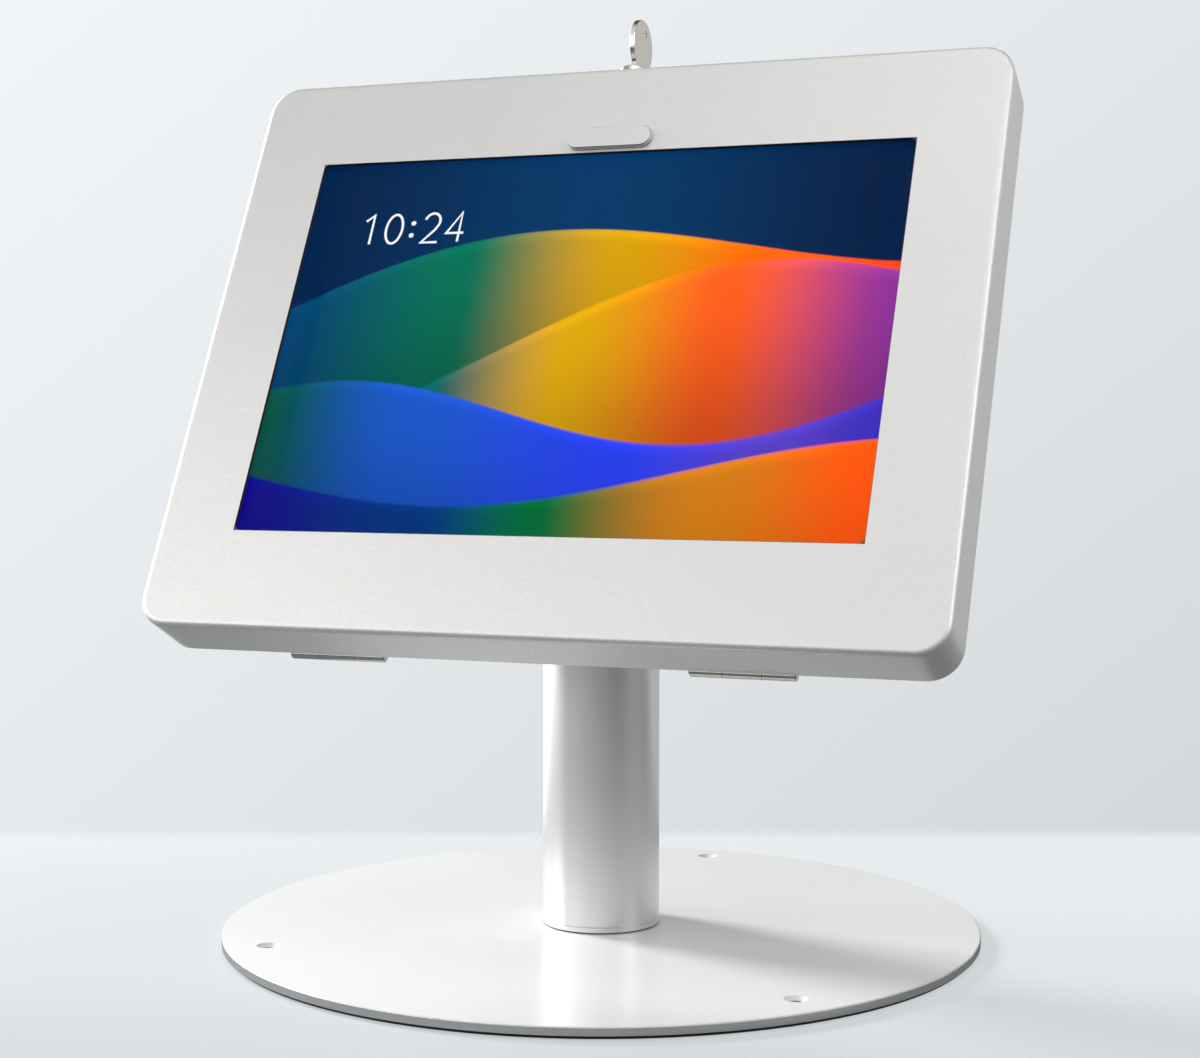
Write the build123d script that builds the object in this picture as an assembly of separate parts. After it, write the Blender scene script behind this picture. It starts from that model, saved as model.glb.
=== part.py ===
from build123d import *
from math import cos, radians, sin
import os

# A free-standing security kiosk for a tablet: a round base plate, a tube column, a head that
# tilts and turns, and a locking case whose front cover frames the tablet's screen.
# Lengths are in millimetres and angles in degrees. +Z is up, the screen faces -Y, and the
# origin is on the column's axis at the underside of the base pad.

# Fits and shared allowances
overrun = 1.0  # how far every cutting shape runs past the face that it opens
fixed_fit = 0.05  # radial room round pieces that are fastened together
running_fit = 0.05  # radial room round pieces that turn in one another
clear_gap = 0.3  # room round pieces that only pass one another
edge_search = 0.01  # how near to a given height an edge is looked for

# Base
base_radius = 143.75
base_thickness = 3.0
base_edge_round = 0.4
pad_thickness = 1.3
pad_inset = 1.5
anchor_front_inset = 15.75
anchor_front_angle = 38.5
anchor_rear_inset = 13.25
anchor_hole_radius = 2.75
anchor_sink_radius = 4.2
anchor_sink_depth = 1.45
anchor_pad_radius = 3.4

# Column
column_radius = 22.25
column_wall = 1.6
column_edge_chamfer = 0.3
foot_flange_height = 2.5
foot_edge_chamfer = 0.4
foot_spigot_height = 7.5
foot_screw_circle = 12.0
foot_screw_count = 3
foot_screw_radius = 2.0
foot_screw_head_radius = 3.8
foot_screw_head_height = 1.8
foot_screw_length = 11.0
cable_exit_height = 28.0
cable_exit_radius = 8.0
grommet_bore_radius = 5.5
grommet_lip = 2.0
grommet_lip_thickness = 1.4

# Column head, a cast plug with two ears
head_spigot_depth = 16.0
head_spigot_wall = 4.0
head_cap_thickness = 4.0
head_cable_slot_width = 14.0
head_cable_slot_depth = 7.5
head_cable_slot_y = 12.0
ear_thickness = 6.0
ear_radius = 12.0
grub_screw_count = 3
grub_screw_radius = 2.0
grub_screw_drop = 8.0
grub_screw_sink = 0.3
grub_socket_radius = 1.0
grub_socket_depth = 2.0

# Tilt pivot
pivot_height = 178.0
pivot_rise = 14.5  # from the top of the column head's cap up to the pivot
tilt_bolt_radius = 4.0
tilt_bolt_head_radius = 6.5
tilt_bolt_head_height = 5.0
tilt_bolt_socket_radius = 3.4
tilt_bolt_socket_depth = 3.0
tilt_bolt_spare = 1.2
tilt_washer_radius = 8.0
tilt_washer_thickness = 1.2
tilt_nut_radius = 7.5
tilt_nut_height = 6.5
friction_disc_radius = 11.5
friction_disc_thickness = 0.6

# Tilt arm: a knuckle on the tilt bolt, carrying the hub plate that the case turns on
knuckle_radius = 12.0
knuckle_half_width = 7.0
hub_radius = 28.0
hub_thickness = 5.0
hub_foot_radius = 15.0

# Case, as seen square on: width across, height up the panel, depth behind its front face
panel_tilt = 27.25
panel_ahead = 32.0  # from the pivot forward to the middle of the front face
panel_above_pivot = 49.0
cover_border_side = 27.7  # from the tablet's edge to the cover's
cover_border_end = 29.0
cover_depth = 23.5
cover_corner_radius = 12.0
cover_edge_round = 2.3
sheet = 1.5
window_lap_side = 1.25  # how far the cover laps over the picture
window_lap_end = 1.6
window_corner_radius = 2.5
gasket_inset = 1.0
gasket_width = 4.0
gasket_thickness = 0.5
camera_hole_radius = 3.0
camera_hole_rise = 4.9  # above the window

# Pill-shaped cover over the camera hole
pill_width = 34.1
pill_height = 8.9
pill_thickness = 2.0
pill_rise = 5.7  # above the window
pill_right = 0.9
pill_edge_chamfer = 0.25
pill_peg_radius = 1.2
pill_peg_spacing = 22.0

# Back panel, a shallow tray inside the cover's walls
panel_gap = 1.5
panel_rim_height = 8.0
panel_corner_radius = 9.0
rim_notch_half_width = 12.0

# Hinges under the rear bottom edge
hinge_offset = 77.6
hinge_pair_left = 1.3  # how far the pair of hinges stands left of the middle
hinge_length = 37.6
hinge_barrel_radius = 2.0
hinge_pin_radius = 1.0
hinge_pin_head_radius = 1.5
hinge_pin_head_height = 0.5
hinge_axis_above_edge = 0.75
hinge_axis_behind = 2.3
hinge_middle_length = 14.0
hinge_knuckle_gap = 0.15
leaf_thickness = 1.0
fixed_leaf_top = 14.0
fixed_leaf_start = 1.95
fixed_leaf_notch_top = 4.25
moving_leaf_reach = 15.0
moving_leaf_neck = 3.0
moving_leaf_width = 34.0

# Swivel joint behind the case, square to the panel
vesa_plate_width = 115.0
vesa_plate_thickness = 2.0
vesa_plate_corner = 8.0
vesa_spacing = 75.0
vesa_screw_radius = 2.0
vesa_screw_head_radius = 3.8
vesa_screw_head_height = 2.2
vesa_screw_head_round = 1.2
vesa_screw_socket_radius = 1.4
vesa_screw_socket_depth = 1.3
vesa_screw_length = 5.5
clinch_nut_radius = 4.0
clinch_nut_height = 2.0
swivel_radius = 8.0
swivel_bore_radius = 5.25
swivel_flange_radius = 13.0
swivel_flange_thickness = 2.0
swivel_washer_thickness = 1.0
swivel_front_washer_radius = 17.0
swivel_rear_washer_radius = 15.0
spring_washer_radius = 13.5
spring_washer_thickness = 1.5
swivel_nut_radius = 13.8
swivel_nut_height = 6.0
swivel_end_spare = 2.0
stop_pin_circle = 21.5
stop_pin_radius = 2.0
stop_pin_gap = 0.4
stop_pin_spare = 1.5
stop_pin_rest_angle = 45.0
turn_range = 90.0

# Tablet
tablet_width = 248.6
tablet_height = 179.5
tablet_thickness = 7.0
tablet_corner_radius = 17.0
tablet_front_depth = 2.2
glass_thickness = 0.7
glass_inset = 0.4
tablet_wall = 1.5
tablet_back_wall = 0.8
tablet_back_round = 1.2
display_border_side = 3.3
display_border_end = 8.25
display_thickness = 1.6
display_corner = 4.0
battery_width_share = 0.37
battery_height_share = 0.624
battery_thickness = 2.8
battery_offset_share = 0.2
battery_down_share = 0.1
board_width_share = 0.765
board_height_share = 0.145
board_thickness = 1.4
board_up_share = 0.345
port_width = 9.0
port_height = 3.2

# Tablet buttons
button_thickness = 2.4
button_proud = 0.6
button_flange = 1.2
button_flange_thickness = 0.8
power_button_length = 13.0
power_button_in = 44.75  # from the tablet's top edge
volume_button_length = 11.0
volume_up_in = 44.3  # from the tablet's left edge
volume_down_in = 58.3

# Corner brackets that hold the tablet
bracket_reach = 27.0
bracket_wall = 4.0
bracket_shelf = 12.0
bracket_lip_depth = 6.0
bracket_room = 0.3
bracket_pad_size = 8.0
bracket_pad_inset = 5.0
bracket_pad_thickness = 1.0
bracket_screw_radius = 1.5
bracket_screw_head_radius = 2.8
bracket_screw_head_height = 1.8
bracket_screw_near = 8.0
bracket_screw_far = 22.0
bracket_floor = 3.0
small_socket_radius = 1.2
small_socket_depth = 1.0

# Lock in the top wall, and its key
lock_depth = 14.0
lock_head_radius = 6.6
lock_head_height = 6.6
lock_head_round = 0.5
lock_body_radius = 5.5
lock_body_length = 16.0
lock_nut_radius = 7.5
lock_nut_height = 3.0
plug_radius = 4.1
plug_face_radius = 5.0
plug_face_thickness = 1.5
plug_spare = 1.0
keyway_half_width = 3.1
keyway_half_thickness = 1.0
keyway_depth = 15.0
cam_thickness = 1.5
cam_hub_radius = 4.0
cam_half_width = 3.0
cam_reach = 7.5
cam_screw_radius = 1.5
cam_screw_head_radius = 2.8
cam_screw_head_height = 2.0
cam_screw_length = 6.0
key_bow_radius = 10.5
key_bow_height = 19.5
key_thickness = 2.0
key_edge_chamfer = 0.15
key_hole_radius = 1.5
key_hole_height = 25.6
key_neck_half_width = 4.0
key_blade_half_width = 3.0
key_blade_thickness = 1.8
key_blade_length = 14.0
key_cut_size = 1.6
key_cut_pitch = 3.0
key_cut_count = 4
key_tip_height = 2.0

# Strike that the lock's cam turns behind
strike_thickness = 1.5
strike_low_in = 26.75  # from the cover's top edge
strike_high_in = 16.85
strike_side = 10.5
strike_tab_inner = 4.6
strike_tab_depth = 9.0
strike_foot_width = 18.0
strike_screw_radius = 1.5
strike_screw_head_radius = 2.8
strike_screw_head_height = 1.8
strike_screw_near = 16.2
strike_screw_far = 23.8

# Heights and depths that follow from the sizes above
base_low = pad_thickness
base_top = base_low + base_thickness
anchor_front_radius = base_radius - anchor_front_inset
anchor_front_x = anchor_front_radius * cos(radians(anchor_front_angle))
anchor_front_y = anchor_front_radius * sin(radians(anchor_front_angle))
anchor_rear_y = base_radius - anchor_rear_inset
foot_top = base_top + foot_flange_height
cap_top = pivot_height - pivot_rise
column_top = cap_top - head_cap_thickness
column_bore = column_radius - column_wall
spigot_radius = column_bore - fixed_fit
ear_inner = knuckle_half_width + friction_disc_thickness
ear_outer = ear_inner + ear_thickness
display_width = tablet_width - 2 * display_border_side
display_height = tablet_height - 2 * display_border_end
window_width = display_width - 2 * window_lap_side
window_height = display_height - 2 * window_lap_end
camera_hole_up = window_height / 2 + camera_hole_rise
pill_up = window_height / 2 + pill_rise
cover_width = tablet_width + 2 * cover_border_side
cover_height = tablet_height + 2 * cover_border_end
half_height = cover_height / 2
strike_low = half_height - strike_low_in
strike_high = half_height - strike_high_in
panel_inner_depth = cover_depth - sheet
vesa_rear_depth = cover_depth + vesa_plate_thickness
hub_front_depth = vesa_rear_depth + swivel_washer_thickness
hub_rear_depth = hub_front_depth + hub_thickness
tablet_back_depth = tablet_front_depth + tablet_thickness
hinge_axis_up = -half_height + hinge_axis_above_edge
hinge_axis_depth = cover_depth + hinge_axis_behind

# The panel's own frame: X across, Y up the panel, Z out of the screen
panel_normal = (0, -cos(radians(panel_tilt)), sin(radians(panel_tilt)))
panel_centre = (0, -panel_ahead, pivot_height + panel_above_pivot)
panel_plane = Plane(origin=panel_centre, x_dir=(1, 0, 0), z_dir=panel_normal)
panel_frame = panel_plane.location

# The tilt pivot in the panel's frame
pivot_local = panel_plane.to_local_coords(Vector(0, 0, pivot_height))
pivot_up = pivot_local.Y
pivot_depth = -pivot_local.Z

# The lock's frame: X across, Y back into the case, Z up out of the top wall
lock_frame = panel_frame * Pos(0, half_height, -lock_depth) * Rot(-90, 0, 0)


def block(x_low, x_high, y_low, y_high, z_low, z_high):
    """A box between two opposite corners."""
    box = Box(x_high - x_low, y_high - y_low, z_high - z_low, align=(Align.MIN, Align.MIN, Align.MIN))
    return Pos(x_low, y_low, z_low) * box


def rod(radius, low, high):
    """A round bar on the Z axis."""
    bar = Cylinder(radius, high - low, align=(Align.CENTER, Align.CENTER, Align.MIN))
    return Pos(0, 0, low) * bar


def hex_bar(radius, low, high):
    """A six-sided bar on the Z axis, with its corners at the radius."""
    return Pos(0, 0, low) * extrude(RegularPolygon(radius, 6), high - low)


def tube(outer, inner, low, high):
    """A ring on the Z axis."""
    return rod(outer, low, high) - rod(inner, low - overrun, high + overrun)


def plate(width, height, corner, low, high):
    """A rectangular plate with round corners, lying across the Z axis."""
    return Pos(0, 0, low) * extrude(RectangleRounded(width, height, corner), high - low)


def along_x(shape):
    """Turns a shape made on the Z axis onto the X axis."""
    return Rot(0, 90, 0) * shape


def along_y(shape):
    """Turns a shape made on the Z axis onto the Y axis."""
    return Rot(-90, 0, 0) * shape


def joined(shapes):
    """One piece, or one group of like pieces, from a list of shapes."""
    total = shapes[0]
    for shape in shapes[1:]:
        total = total + shape
    return total


def edges_at(shape, height):
    """The edges that lie wholly at one height on the Z axis."""
    level = shape.edges().filter_by(Plane.XY)
    return level.filter_by_position(Axis.Z, height - edge_search, height + edge_search)


# Base pad and plate
anchor_points = [
    (-anchor_front_x, -anchor_front_y),
    (anchor_front_x, -anchor_front_y),
    (0, anchor_rear_y),
]


def make_base_pad():
    pad = rod(base_radius - pad_inset, 0, base_low)
    for x, y in anchor_points:
        pad = pad - Pos(x, y, 0) * rod(anchor_pad_radius, -overrun, base_low + overrun)
    return pad


def foot_screw_places():
    places = []
    for i in range(foot_screw_count):
        turn = Rot(0, 0, 360 / foot_screw_count * i - 90)
        places.append(turn * Pos(foot_screw_circle, 0, base_low))
    return places


def foot_screw(extra=0):
    """A countersunk screw with its head down, grown all round to make its hole."""
    head = Cone(
        foot_screw_head_radius + extra,
        foot_screw_radius + extra,
        foot_screw_head_height,
        align=(Align.CENTER, Align.CENTER, Align.MIN),
    )
    return head + rod(foot_screw_radius + extra, 0, foot_screw_length + extra)


def make_base_plate():
    disc = rod(base_radius, base_low, base_top)
    disc = fillet(edges_at(disc, base_top), base_edge_round)
    for x, y in anchor_points:
        sink = Cone(
            anchor_hole_radius,
            anchor_sink_radius,
            anchor_sink_depth,
            align=(Align.CENTER, Align.CENTER, Align.MAX),
        )
        disc = disc - Pos(x, y, 0) * rod(anchor_hole_radius, base_low - overrun, base_top + overrun)
        disc = disc - Pos(x, y, base_top) * sink
    for place in foot_screw_places():
        disc = disc - place * foot_screw(fixed_fit)
    return disc


def make_column_foot():
    flange = rod(column_radius, base_top, foot_top)
    flange = chamfer(edges_at(flange, foot_top), column_edge_chamfer)
    flange = chamfer(edges_at(flange, base_top), foot_edge_chamfer)
    foot = flange + rod(spigot_radius, foot_top, foot_top + foot_spigot_height)
    for place in foot_screw_places():
        foot = foot - place * foot_screw(fixed_fit)
    return foot


def make_foot_screws():
    screws = []
    for place in foot_screw_places():
        socket = hex_bar(foot_screw_radius / 2, -overrun, foot_screw_head_height / 2)
        screws.append(place * (foot_screw() - socket))
    return joined(screws)


def grub_places():
    places = []
    for i in range(grub_screw_count):
        turn = Rot(0, 0, 360 / grub_screw_count * i + 90)
        places.append(turn * Pos(0, 0, column_top - grub_screw_drop))
    return places


def make_column_tube():
    wall = tube(column_radius, column_bore, foot_top, column_top)
    outer_edges = edges_at(wall, foot_top).sort_by(SortBy.LENGTH)[-1:]
    wall = chamfer(outer_edges, column_edge_chamfer)
    exit_hole = Pos(0, 0, cable_exit_height) * along_y(rod(cable_exit_radius, 0, column_radius + overrun))
    wall = wall - exit_hole
    for place in grub_places():
        wall = wall - place * along_x(rod(grub_screw_radius + fixed_fit, 0, column_radius + overrun))
    return wall


def make_cable_grommet():
    """A rubber ring that clips into the hole at the back of the column."""
    lip_radius = cable_exit_radius + grommet_lip
    outer_face = column_radius + grommet_lip_thickness
    inner_face = column_bore - grommet_lip_thickness
    reach = outer_face + overrun
    low = cable_exit_height - lip_radius - overrun
    high = cable_exit_height + lip_radius + overrun
    wide = Pos(0, 0, cable_exit_height) * along_y(rod(lip_radius, 0, reach))
    narrow = Pos(0, 0, cable_exit_height) * along_y(rod(cable_exit_radius - fixed_fit, 0, reach))
    bore = Pos(0, 0, cable_exit_height) * along_y(rod(grommet_bore_radius, 0, reach))
    outer_lip = wide & tube(outer_face, column_radius, low, high)
    neck = narrow & tube(outer_face, inner_face, low, high)
    inner_lip = wide & tube(column_bore, inner_face, low, high)
    return outer_lip + neck + inner_lip - bore


# Column head and the tilt pivot
def make_column_head():
    spigot_inner = spigot_radius - head_spigot_wall
    head = tube(spigot_radius, spigot_inner, column_top - head_spigot_depth, column_top)
    cap = rod(column_radius, column_top, cap_top)
    cap = chamfer(edges_at(cap, cap_top), column_edge_chamfer)
    head = head + cap
    for side in (-1, 1):
        low, high = sorted((side * ear_inner, side * ear_outer))
        ear = block(low, high, -ear_radius, ear_radius, cap_top, pivot_height)
        ear = ear + Pos(0, 0, pivot_height) * along_x(rod(ear_radius, low, high))
        head = head + ear
    bolt_hole = along_x(rod(tilt_bolt_radius + fixed_fit, -column_radius, column_radius))
    head = head - Pos(0, 0, pivot_height) * bolt_hole
    slot = SlotOverall(head_cable_slot_width, head_cable_slot_depth)
    slot_cut = extrude(slot, head_cap_thickness + 2 * overrun)
    head = head - Pos(0, head_cable_slot_y, column_top - overrun) * slot_cut
    for place in grub_places():
        head = head - place * along_x(rod(grub_screw_radius + fixed_fit, 0, column_radius + overrun))
    return head


def make_grub_screws():
    screws = []
    tip = spigot_radius - head_spigot_wall
    face = column_radius - grub_screw_sink
    socket = hex_bar(grub_socket_radius, face - grub_socket_depth, face + overrun)
    screw = along_x(rod(grub_screw_radius, tip, face) - socket)
    for place in grub_places():
        screws.append(place * screw)
    return joined(screws)


def at_pivot(shape):
    return Pos(0, 0, pivot_height) * along_x(shape)


def make_tilt_bolt():
    seat = ear_outer + tilt_washer_thickness
    head = rod(tilt_bolt_head_radius, -seat - tilt_bolt_head_height, -seat)
    socket_end = -seat - tilt_bolt_head_height + tilt_bolt_socket_depth
    head = head - hex_bar(tilt_bolt_socket_radius, -seat - tilt_bolt_head_height - overrun, socket_end)
    shank = rod(tilt_bolt_radius, -seat, seat + tilt_nut_height + tilt_bolt_spare)
    return at_pivot(head + shank)


def make_tilt_washers():
    seat = ear_outer + tilt_washer_thickness
    bore = tilt_bolt_radius + fixed_fit
    left = tube(tilt_washer_radius, bore, -seat, -ear_outer)
    right = tube(tilt_washer_radius, bore, ear_outer, seat)
    return at_pivot(left + right)


def make_tilt_nut():
    seat = ear_outer + tilt_washer_thickness
    nut_end = seat + tilt_nut_height
    nut = hex_bar(tilt_nut_radius, seat, nut_end)
    return at_pivot(nut - rod(tilt_bolt_radius + fixed_fit, seat - overrun, nut_end + overrun))


def make_friction_discs():
    bore = tilt_bolt_radius + running_fit
    left = tube(friction_disc_radius, bore, -ear_inner, -knuckle_half_width)
    right = tube(friction_disc_radius, bore, knuckle_half_width, ear_inner)
    return at_pivot(left + right)


def make_tilt_arm():
    """Made in the panel's frame: a pear-shaped hub plate with the knuckle's lug behind its foot."""
    circles = Sketch() + [Circle(hub_radius), Pos(0, pivot_up) * Circle(hub_foot_radius)]
    outline = make_hull(circles.edges())
    arm = Pos(0, 0, -hub_rear_depth) * extrude(outline, hub_thickness)
    lug_low = pivot_up - knuckle_radius
    lug_high = pivot_up + knuckle_radius
    lug = block(-knuckle_half_width, knuckle_half_width, lug_low, lug_high, -pivot_depth, -hub_rear_depth)
    knuckle = along_x(rod(knuckle_radius, -knuckle_half_width, knuckle_half_width))
    arm = arm + lug + Pos(0, pivot_up, -pivot_depth) * knuckle
    bolt_hole = along_x(rod(tilt_bolt_radius + running_fit, -hub_radius, hub_radius))
    arm = arm - Pos(0, pivot_up, -pivot_depth) * bolt_hole
    swivel_hole = rod(swivel_radius + running_fit, -hub_rear_depth - overrun, -hub_front_depth + overrun)
    path = CenterArc((0, 0), stop_pin_circle, stop_pin_rest_angle, turn_range)
    slot = SlotArc(path, 2 * (stop_pin_radius + stop_pin_gap))
    slot_cut = Pos(0, 0, -hub_rear_depth - overrun) * extrude(slot, hub_thickness + 2 * overrun)
    return panel_frame * (arm - swivel_hole - slot_cut)


def make_swivel_friction_washers():
    bore = swivel_radius + running_fit
    front = tube(swivel_front_washer_radius, bore, -hub_front_depth, -vesa_rear_depth)
    rear_low = -hub_rear_depth - swivel_washer_thickness
    rear = tube(swivel_rear_washer_radius, bore, rear_low, -hub_rear_depth)
    return panel_frame * (front + rear)


# Swivel pieces that turn with the case
spring_front_depth = hub_rear_depth + swivel_washer_thickness
spring_rear_depth = spring_front_depth + spring_washer_thickness
nut_rear_depth = spring_rear_depth + swivel_nut_height


def make_swivel_tube():
    """A hollow threaded tube: the tablet's cable runs through it."""
    flange = rod(swivel_flange_radius, -panel_inner_depth, -panel_inner_depth + swivel_flange_thickness)
    end = -nut_rear_depth - swivel_end_spare
    body = flange + rod(swivel_radius, end, -panel_inner_depth)
    return panel_frame * (body - rod(swivel_bore_radius, end - overrun, 0))


def make_spring_washer():
    bore = swivel_radius + fixed_fit
    return panel_frame * tube(spring_washer_radius, bore, -spring_rear_depth, -spring_front_depth)


def make_swivel_nut():
    nut = hex_bar(swivel_nut_radius, -nut_rear_depth, -spring_rear_depth)
    hole = rod(swivel_radius + fixed_fit, -nut_rear_depth - overrun, -spring_rear_depth + overrun)
    return panel_frame * (nut - hole)


def vesa_points():
    half = vesa_spacing / 2
    return [(x, y) for x in (-half, half) for y in (-half, half)]


def stop_pin_point():
    angle = radians(stop_pin_rest_angle)
    return stop_pin_circle * cos(angle), stop_pin_circle * sin(angle)


def make_vesa_plate():
    low = -vesa_rear_depth
    body = plate(vesa_plate_width, vesa_plate_width, vesa_plate_corner, low, -cover_depth)
    body = body - rod(swivel_radius + fixed_fit, low - overrun, -cover_depth + overrun)
    screw_hole = rod(vesa_screw_radius + fixed_fit, low - overrun, -cover_depth + overrun)
    for x, y in vesa_points():
        body = body - Pos(x, y, 0) * screw_hole
    x, y = stop_pin_point()
    pin_hole = rod(stop_pin_radius + fixed_fit, low - overrun, -cover_depth + overrun)
    body = body - Pos(x, y, 0) * pin_hole
    return panel_frame * body


def make_stop_pin():
    x, y = stop_pin_point()
    pin = rod(stop_pin_radius, -hub_rear_depth - stop_pin_spare, -cover_depth)
    return panel_frame * Pos(x, y, 0) * pin


def make_vesa_screws():
    screws = []
    seat = -vesa_rear_depth
    top = seat - vesa_screw_head_height
    for x, y in vesa_points():
        head = rod(vesa_screw_head_radius, top, seat)
        head = fillet(edges_at(head, top), vesa_screw_head_round)
        head = head - hex_bar(vesa_screw_socket_radius, top - overrun, top + vesa_screw_socket_depth)
        shank = rod(vesa_screw_radius, seat, seat + vesa_screw_length)
        screws.append(Pos(x, y, 0) * (head + shank))
    return panel_frame * joined(screws)


def make_clinch_nuts():
    nuts = []
    bore = vesa_screw_radius + fixed_fit
    low = -panel_inner_depth
    for x, y in vesa_points():
        nuts.append(Pos(x, y, 0) * tube(clinch_nut_radius, bore, low, low + clinch_nut_height))
    return panel_frame * joined(nuts)


# Back panel and what is fixed to it
def bracket_corners():
    """The sign of each corner, across and up."""
    return [(across, up) for across in (-1, 1) for up in (-1, 1)]


def bracket_screw_points(across, up):
    """Two screws in each corner bracket, one along each arm, counted from the tablet's corner."""
    edge_x = tablet_width / 2 + bracket_wall
    edge_y = tablet_height / 2 + bracket_wall
    near = bracket_screw_near + bracket_wall / 2
    far = bracket_screw_far + bracket_wall / 2
    first = (across * (edge_x - near), up * (edge_y - far))
    second = (across * (edge_x - far), up * (edge_y - near))
    return [first, second]


def strike_screw_points():
    middle = (strike_low + strike_high) / 2
    return [(strike_screw_near, middle), (strike_screw_far, middle)]


def make_back_panel():
    width = cover_width - 2 * (sheet + panel_gap)
    height = cover_height - 2 * (sheet + panel_gap)
    rim_top = -panel_inner_depth + panel_rim_height
    body = plate(width, height, panel_corner_radius, -cover_depth, rim_top)
    inner_low = -panel_inner_depth
    inner_high = rim_top + overrun
    inner_corner = panel_corner_radius - sheet
    inner = plate(width - 2 * sheet, height - 2 * sheet, inner_corner, inner_low, inner_high)
    body = body - inner
    notch_low = height / 2 - sheet - overrun
    notch_half = rim_notch_half_width
    notch = block(-notch_half, notch_half, notch_low, half_height, inner_low, inner_high)
    body = body - notch
    low = -cover_depth - overrun
    high = -panel_inner_depth + overrun
    body = body - rod(swivel_radius + fixed_fit, low, high)
    for x, y in vesa_points():
        body = body - Pos(x, y, 0) * rod(vesa_screw_radius + fixed_fit, low, high)
    for across, up in bracket_corners():
        for x, y in bracket_screw_points(across, up):
            body = body - Pos(x, y, 0) * rod(bracket_screw_radius + fixed_fit, low, high)
    for x, y in strike_screw_points():
        body = body - Pos(x, y, 0) * rod(strike_screw_radius + fixed_fit, low, high)
    return panel_frame * body


def at_hinge(shape, side):
    """Moves a shape made round the X axis to the left or right hinge's axis."""
    across = side * hinge_offset - hinge_pair_left
    return panel_frame * Pos(across, hinge_axis_up, -hinge_axis_depth) * shape


def make_fixed_leaves():
    """The leaf behind the back panel, with a knuckle at each end."""
    half = hinge_length / 2
    middle = hinge_middle_length / 2 + hinge_knuckle_gap
    leaf_front = hinge_axis_behind
    leaf_back = leaf_front - leaf_thickness
    leaf_low = fixed_leaf_start - hinge_axis_above_edge
    notch_top = fixed_leaf_notch_top - hinge_axis_above_edge
    leaves = []
    for side in (-1, 1):
        leaf = block(-half, half, leaf_low, fixed_leaf_top, leaf_back, leaf_front)
        leaf = leaf - block(-middle, middle, -half, notch_top, leaf_back - overrun, leaf_front + overrun)
        bore = hinge_pin_radius + fixed_fit
        for low, high in ((-half, -middle), (middle, half)):
            leaf = leaf + along_x(rod(hinge_barrel_radius, low, high))
        leaf = leaf - along_x(rod(bore, -half - overrun, half + overrun))
        leaves.append(at_hinge(leaf, side))
    return joined(leaves)


def make_moving_leaves():
    """The leaf inside the cover's bottom wall, with the middle knuckle."""
    middle = hinge_middle_length / 2
    leaf_low = sheet - hinge_axis_above_edge
    leaf_high = leaf_low + leaf_thickness
    leaves = []
    for side in (-1, 1):
        neck = block(-middle, middle, leaf_low, leaf_high, 0, hinge_axis_behind + moving_leaf_reach)
        flag_low = hinge_axis_behind + moving_leaf_neck
        half = moving_leaf_width / 2
        flag = block(-half, half, leaf_low, leaf_high, flag_low, hinge_axis_behind + moving_leaf_reach)
        leaf = neck + flag + along_x(rod(hinge_barrel_radius, -middle, middle))
        bore = rod(hinge_pin_radius + running_fit, -hinge_length, hinge_length)
        leaves.append(at_hinge(leaf - along_x(bore), side))
    return joined(leaves)


def make_hinge_pins():
    half = hinge_length / 2
    pins = []
    for side in (-1, 1):
        pin = rod(hinge_pin_radius, -half, half)
        pin = pin + rod(hinge_pin_head_radius, -half - hinge_pin_head_height, -half)
        pin = pin + rod(hinge_pin_head_radius, half, half + hinge_pin_head_height)
        pins.append(at_hinge(along_x(pin), side))
    return joined(pins)


def make_corner_brackets():
    """Four moulded blocks: a shelf behind each corner of the tablet and a wall round it."""
    edge_x = tablet_width / 2
    edge_y = tablet_height / 2
    shelf_depth = tablet_back_depth + bracket_pad_thickness
    pocket_width = tablet_width + 2 * bracket_room
    pocket_height = tablet_height + 2 * bracket_room
    pocket_corner = tablet_corner_radius + bracket_room
    pocket = plate(pocket_width, pocket_height, pocket_corner, -shelf_depth, 0)
    hole = rod(bracket_screw_radius + fixed_fit, -panel_inner_depth - overrun, 0)
    sink = rod(bracket_screw_head_radius + clear_gap, -panel_inner_depth + bracket_floor, 0)
    brackets = []
    for across, up in bracket_corners():
        x_low, x_high = sorted((across * (edge_x - bracket_reach), across * (edge_x + bracket_wall)))
        y_low, y_high = sorted((up * (edge_y - bracket_reach), up * (edge_y + bracket_wall)))
        body = block(x_low, x_high, y_low, y_high, -panel_inner_depth, -bracket_lip_depth)
        inner_x = sorted((across * (edge_x - bracket_reach - overrun), across * (edge_x - bracket_shelf)))
        inner_y = sorted((up * (edge_y - bracket_reach - overrun), up * (edge_y - bracket_shelf)))
        body = body - block(*inner_x, *inner_y, -panel_inner_depth - overrun, 0)
        body = body - pocket
        for x, y in bracket_screw_points(across, up):
            body = body - Pos(x, y, 0) * hole
            body = body - Pos(x, y, 0) * sink
        brackets.append(body)
    return panel_frame * joined(brackets)


def cap_screw(shank_radius, head_radius, head_height, shank_low, seat):
    """A socket screw with its head towards the screen."""
    top = seat + head_height
    socket = hex_bar(small_socket_radius, top - small_socket_depth, top + overrun)
    return rod(head_radius, seat, top) - socket + rod(shank_radius, shank_low, seat)


def make_bracket_screws():
    screws = []
    seat = -panel_inner_depth + bracket_floor
    head_radius = bracket_screw_head_radius
    head_height = bracket_screw_head_height
    screw = cap_screw(bracket_screw_radius, head_radius, head_height, -cover_depth, seat)
    for across, up in bracket_corners():
        for x, y in bracket_screw_points(across, up):
            screws.append(Pos(x, y, 0) * screw)
    return panel_frame * joined(screws)


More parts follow.
